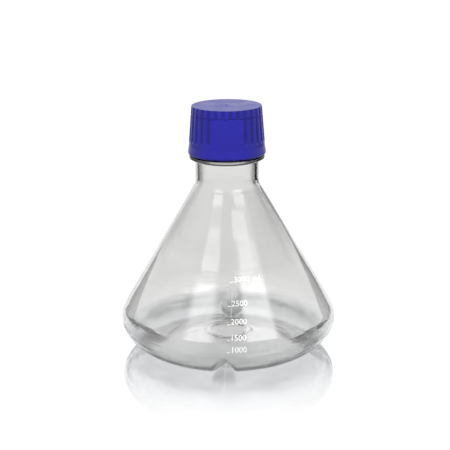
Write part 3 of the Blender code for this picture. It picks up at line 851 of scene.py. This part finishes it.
class FLASK_OT_stage(bpy.types.Operator):
    """Set out the white floor, the pale surround, the softboxes and the camera"""
    bl_idname = "flask.stage"
    bl_label = "Stage"

    def execute(self, context):
        s = context.scene.flask_stage
        self.floor(s)
        self.flags(s)
        self.surround(context.scene)
        self.softboxes(s)
        self.camera(context.scene)
        context.scene.view_settings.view_transform = "Standard"
        return {"FINISHED"}

    @staticmethod
    def dimmed_for_diffuse(tree, strength):
        """Strength, less for the light that falls on matt surfaces, so that the softboxes shape them."""
        matt = add_node(tree, "LightPath").outputs["Is Diffuse Ray"]
        share = add_node(tree, "MapRange", [matt, 0.0, 1.0, 1.0, 0.2])
        return add_node(tree, "Math", [strength, share], operation="MULTIPLY")

    def floor(self, s):
        """White gloss sheet with a painted shadow round the flask's foot, whose mirror image fades with
        distance.
        """
        material, tree = new_material("White gloss sheet")
        place = add_node(tree, "TexCoord").outputs["Object"]
        reach = add_node(tree, "VectorMath", [place], operation="LENGTH").outputs["Value"]
        fade = add_node(tree, "MapRange", [reach, s.gloss_near, s.gloss_far, s.gloss, 0.0], **SMOOTH)
        # the painted shadow's ring is a little nearer to the front than the foot
        nearer = add_node(tree, "VectorMath", [place, (0.0, 6 * MM, 0.0)], operation="ADD")
        foot = add_node(tree, "VectorMath", [nearer], operation="LENGTH").outputs["Value"]
        off_foot = add_node(tree, "Math", [foot, s.shade_radius], operation="SUBTRACT")
        off_ring = add_node(tree, "Math", [off_foot], operation="ABSOLUTE")
        # painted shadow: the floor's glow is dimmed in a ring round the foot
        painted_shadow_strength = add_node(tree, "MapRange",
                       [off_ring, 0.1 * s.shade_width, s.shade_width, 1.0 - s.shade, 1.03], **SMOOTH)
        white = add_node(tree, "Emission", {"Color": (1, 1, 1, 1),
                                            "Strength": self.dimmed_for_diffuse(tree, painted_shadow_strength)})
        mirror = add_node(tree, "BsdfGlossy", {"Color": linear("F6F9FF"), "Roughness": 0.05})
        finish_material(material, add_node(tree, "MixShader", [fade, white, mirror]))
        h = s.floor_size
        corners = [(-h, -h, 0), (h, -h, 0), (h, h, 0), (-h, h, 0)]
        floor = mesh_object("floor", corners, [(0, 1, 2, 3)], material)
        floor.location.z = -0.02 * MM

    @staticmethod
    def flags(s):
        """Curved dark cards behind, left and right, which the camera itself doesn't see.

        Each is an upright strip of a cylinder about the flask: (radius * sin, radius * cos) of the
        angle off the line of sight. What the clear wall's thick edges bend aside looks dark.
        """
        for name, start, end, foot_share, colour in CARDS:
            material, tree = new_material(name)
            finish_material(material, add_node(tree, "Emission", {"Color": linear(colour)}))
            angle = np.radians(np.linspace(start, end, 25))
            foot = np.full(angle.shape, foot_share * s.flag_height)
            low = np.column_stack([s.flag_radius * np.sin(angle), s.flag_radius * np.cos(angle), foot])
            k = np.arange(len(angle) - 1)
            quads = np.column_stack([k, k + 1, k + 1 + len(angle), k + len(angle)])
            points = np.vstack([low, low + [0.0, 0.0, s.flag_height]])
            card = mesh_object(name, points, quads.tolist(), material)
            card.visible_camera = False
            card.visible_diffuse = False
            card.visible_glossy = foot_share == 0.0
            card.visible_shadow = False

    @staticmethod
    def window(tree, value, centre, half, soft):
        """1 within half of the centre, fading to 0 over soft beyond it."""
        offset = add_node(tree, "Math", [value, centre], operation="SUBTRACT")
        away = add_node(tree, "Math", [offset], operation="ABSOLUTE")
        return add_node(tree, "MapRange", [away, half, half + soft, 1.0, 0.0], **SMOOTH)

    @staticmethod
    def sky_angles(tree):
        """Azimuth from the front and elevation of the way looked, in degrees."""
        way = add_node(tree, "TexCoord").outputs["Generated"]
        split = add_node(tree, "SeparateXYZ", {"Vector": way})
        front = add_node(tree, "Math", [split.outputs["Y"], -1.0], operation="MULTIPLY")
        around = add_node(tree, "Math", [split.outputs["X"], front], operation="ARCTAN2")
        lift = add_node(tree, "Math", [split.outputs["Z"]], operation="ARCSINE")
        return [add_node(tree, "Math", [angle], operation="DEGREES") for angle in (around, lift)]

    def surround(self, scene):
        """A room that is white from the horizon up and greyer overhead, with soft lamps in front.

        A lamp is a soft-edged patch in azimuth from the front and elevation over the arch, in degrees.
        """
        scene.world = bpy.data.worlds.new("Studio surround")
        scene.world.use_nodes = True
        tree = scene.world.node_tree
        tree.nodes.clear()
        azimuth, elevation = self.sky_angles(tree)
        total = add_node(tree, "MapRange", [elevation, 30.0, 52.0, 1.08, 0.35], **SMOOTH)
        squared = add_node(tree, "Math", [azimuth, azimuth], operation="MULTIPLY")
        arched = add_node(tree, "Math", [squared, LAMP_ARCH, elevation], operation="MULTIPLY_ADD")
        for patch in LAMP_PATCHES:
            across = self.window(tree, azimuth, *patch[:3])
            upright = self.window(tree, arched, *patch[3:6])
            both = add_node(tree, "Math", [across, upright], operation="MULTIPLY")
            total = add_node(tree, "Math", [both, patch[6], total], operation="MULTIPLY_ADD")
        total = add_node(tree, "Math", [total, 0.0], operation="MAXIMUM")
        sky = add_node(tree, "Background", {"Color": (1, 1, 1, 1),
                                            "Strength": self.dimmed_for_diffuse(tree, total)})
        add_node(tree, "OutputWorld", {"Surface": sky})

    @staticmethod
    def softboxes(s):
        """Two softboxes in front that light the opaque pieces; the lamp patches give the reflections."""
        for name, azimuth in SOFTBOXES:
            lamp = bpy.data.lights.new(name, "AREA")
            lamp.shape = "RECTANGLE"
            lamp.size, lamp.size_y = SOFTBOX_SIZE
            lamp.energy = s.softbox
            holder = new_object(name, lamp)
            holder.visible_glossy = False
            holder.visible_transmission = False
            holder.matrix_world = (Matrix.Translation((0, 0, SOFTBOX_AIM))
                                   @ Matrix.Rotation(math.radians(azimuth), 4, "Z")
                                   @ Matrix.Rotation(math.radians(90 - SOFTBOX_ELEVATION), 4, "X")
                                   @ Matrix.Translation((0, 0, SOFTBOX_DISTANCE)))

    @staticmethod
    def camera(scene):
        """Long lens, 1.2 m in front and looking down by 16 degrees."""
        lens = bpy.data.cameras.new("camera")
        lens.lens = LENS
        lens.sensor_width = 36.0
        lens.clip_start = 0.01
        lens.clip_end = 50.0
        holder = new_object("camera", lens)
        holder.matrix_world = (Matrix.Translation(CAMERA_PLACE)
                               @ Matrix.Rotation(math.radians(90 - CAMERA_DIP), 4, "X")
                               @ Matrix.Rotation(math.radians(CAMERA_ROLL), 4, "Z"))
        scene.camera = holder


class FLASK_PT_panel(bpy.types.Panel):
    """Lists the flask's pieces and stage"""
    bl_idname = "FLASK_PT_panel"
    bl_label = "Baffled Shake Flask"
    bl_space_type = "VIEW_3D"
    bl_region_type = "UI"
    bl_category = "Flask"

    def draw(self, context):
        for group in GROUPS:
            box = self.layout.box()
            settings = getattr(context.scene, group)
            for name in settings.__annotations__:
                box.prop(settings, name)
        for operator in OPERATORS:
            self.layout.operator(operator.bl_idname)


GROUPS = {"flask_vessel": FlaskVesselSettings, "flask_baffles": FlaskBaffleSettings,
          "flask_finish": FlaskFinishSettings, "flask_marks": FlaskMarkSettings,
          "flask_cap": FlaskCapSettings, "flask_stage": FlaskStageSettings}
OPERATORS = (FLASK_OT_vessel, FLASK_OT_marks, FLASK_OT_cap, FLASK_OT_liner, FLASK_OT_stage)


def register():
    for cls in (*GROUPS.values(), *OPERATORS, FLASK_PT_panel):
        bpy.utils.register_class(cls)
    for name, cls in GROUPS.items():
        setattr(bpy.types.Scene, name, PointerProperty(type=cls))


def unregister():
    for name in GROUPS:
        delattr(bpy.types.Scene, name)
    for cls in reversed((*GROUPS.values(), *OPERATORS, FLASK_PT_panel)):
        bpy.utils.unregister_class(cls)


def main():
    register()
    bpy.ops.flask.vessel()
    bpy.ops.flask.marks()
    bpy.ops.flask.cap()
    bpy.ops.flask.liner()
    bpy.ops.flask.stage()


if __name__ == "__main__":
    main()
